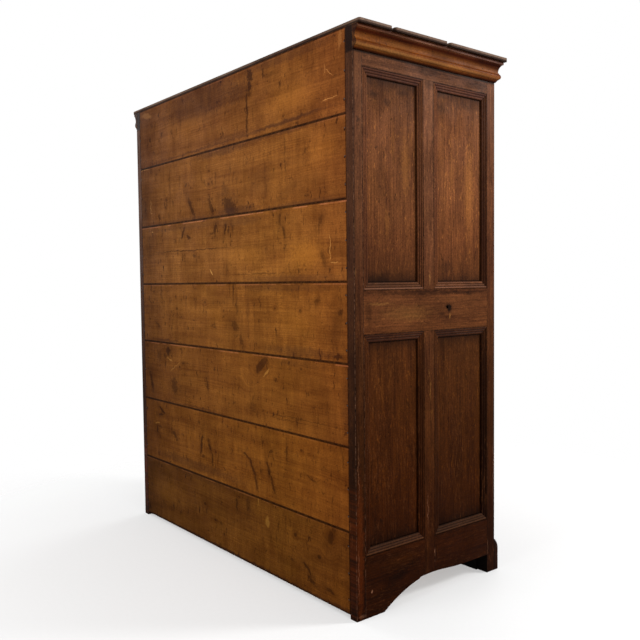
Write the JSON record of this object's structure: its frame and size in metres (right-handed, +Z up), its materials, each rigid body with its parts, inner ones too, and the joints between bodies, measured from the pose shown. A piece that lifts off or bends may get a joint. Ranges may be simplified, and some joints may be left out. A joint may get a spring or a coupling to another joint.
{
  "type": "oak cupboard",
  "caption": "Tall free-standing panelled cupboard with framed ends, boarded back, moulded cornice, shaped feet, and hinged doors over shelves.",
  "frame": {"origin": "on the floor, in the middle of the width and of the depth over the top boards", "axes": "+Z up, +Y from the doors to the back, +X to the right of someone who faces the doors"},
  "size_m": [1.595, 0.724, 1.9],
  "materials": {
    "oak_frame": "worn varnished dark red-brown oak",
    "oak_panel": "varnished oak panel, streaked along its grain",
    "oak_cornice": "varnished golden-brown oak",
    "pine_back": "aged amber deal with knots",
    "pine_top": "bare greyed deal",
    "pine_inside": "plain deal",
    "iron": "dark wrought iron",
    "brass": "dull old brass"
  },
  "bodies": {
    "carcass": {"back_board_1": "pine_back", "back_board_2": "pine_back", "back_board_3": "pine_back", "back_board_4": "pine_back", "back_board_5": "pine_back", "back_board_6": "pine_back", "back_board_7": "pine_back", "base_rail": "pine_inside", "cornice_front": "oak_cornice", "cornice_left": "oak_cornice", "cornice_right": "oak_cornice", "floor_board": "pine_inside", "frieze_rail": "oak_frame", "front_plinth": "oak_frame", "left_end_bottom_rail": "oak_frame", "left_end_front_post": "oak_frame", "left_end_lower_muntin": "oak_frame", "left_end_mid_rail": "oak_frame", "left_end_panel_lower_front": "oak_panel", "left_end_panel_lower_rear": "oak_panel", "left_end_panel_upper_front": "oak_panel", "left_end_panel_upper_rear": "oak_panel", "left_end_rear_post": "oak_frame", "left_end_top_rail": "oak_frame", "left_end_upper_muntin": "oak_frame", "left_lower_hinge_post_leaf": "iron", "left_upper_hinge_post_leaf": "iron", "right_end_bottom_rail": "oak_frame", "right_end_front_post": "oak_frame", "right_end_lower_muntin": "oak_frame", "right_end_mid_rail": "oak_frame", "right_end_panel_lower_front": "oak_panel", "right_end_panel_lower_rear": "oak_panel", "right_end_panel_upper_front": "oak_panel", "right_end_panel_upper_rear": "oak_panel", "right_end_rear_post": "oak_frame", "right_end_top_rail": "oak_frame", "right_end_upper_muntin": "oak_frame", "right_lower_hinge_post_leaf": "iron", "right_upper_hinge_post_leaf": "iron", "shelf_lower": "pine_inside", "shelf_middle": "pine_inside", "shelf_upper": "pine_inside", "top_board_front": "pine_top", "top_board_middle": "pine_top", "top_board_rear": "pine_top"},
    "left_door": {"left_door_frame": "oak_frame", "left_door_panel_lower": "oak_panel", "left_door_panel_upper": "oak_panel", "left_lower_hinge_door_leaf": "iron", "left_upper_hinge_door_leaf": "iron"},
    "right_door": {"lock_case": "iron", "right_door_frame": "oak_frame", "right_door_panel_lower": "oak_panel", "right_door_panel_upper": "oak_panel", "right_lower_hinge_door_leaf": "iron", "right_upper_hinge_door_leaf": "iron"},
    "key": {"key": "iron"},
    "lock_bolt": {"lock_bolt": "brass"},
    "left_bolt": {"left_bolt_rod": "iron"}
  },
  "joints": [
    {"name": "left_door_hinge", "type": "hinge", "parent": "carcass", "child": "left_door", "pos_m": [-0.71875, -0.3333, 0.965], "axis": [0, 0, -1], "range_deg": [0, 170]},
    {"name": "right_door_hinge", "type": "hinge", "parent": "carcass", "child": "right_door", "pos_m": [0.71875, -0.3333, 0.965], "axis": [0, 0, 1], "range_deg": [0, 170]},
    {"name": "key_turn", "type": "hinge", "parent": "right_door", "child": "key", "pos_m": [0.0295, -0.328, 0.985], "axis": [0, -1, 0], "range_deg": [0, 180]},
    {"name": "lock_bolt_slide", "type": "slide", "parent": "right_door", "child": "lock_bolt", "axis": [-1, 0, 0], "range_m": [0, 0.012]},
    {"name": "left_bolt_slide", "type": "slide", "parent": "left_door", "child": "left_bolt", "axis": [0, 0, 1], "range_m": [0, 0.012]}
  ],
  "couplings": [
    {"joint": "key_turn", "follows": "lock_bolt_slide", "rad_per_m": 261.8}
  ]
}
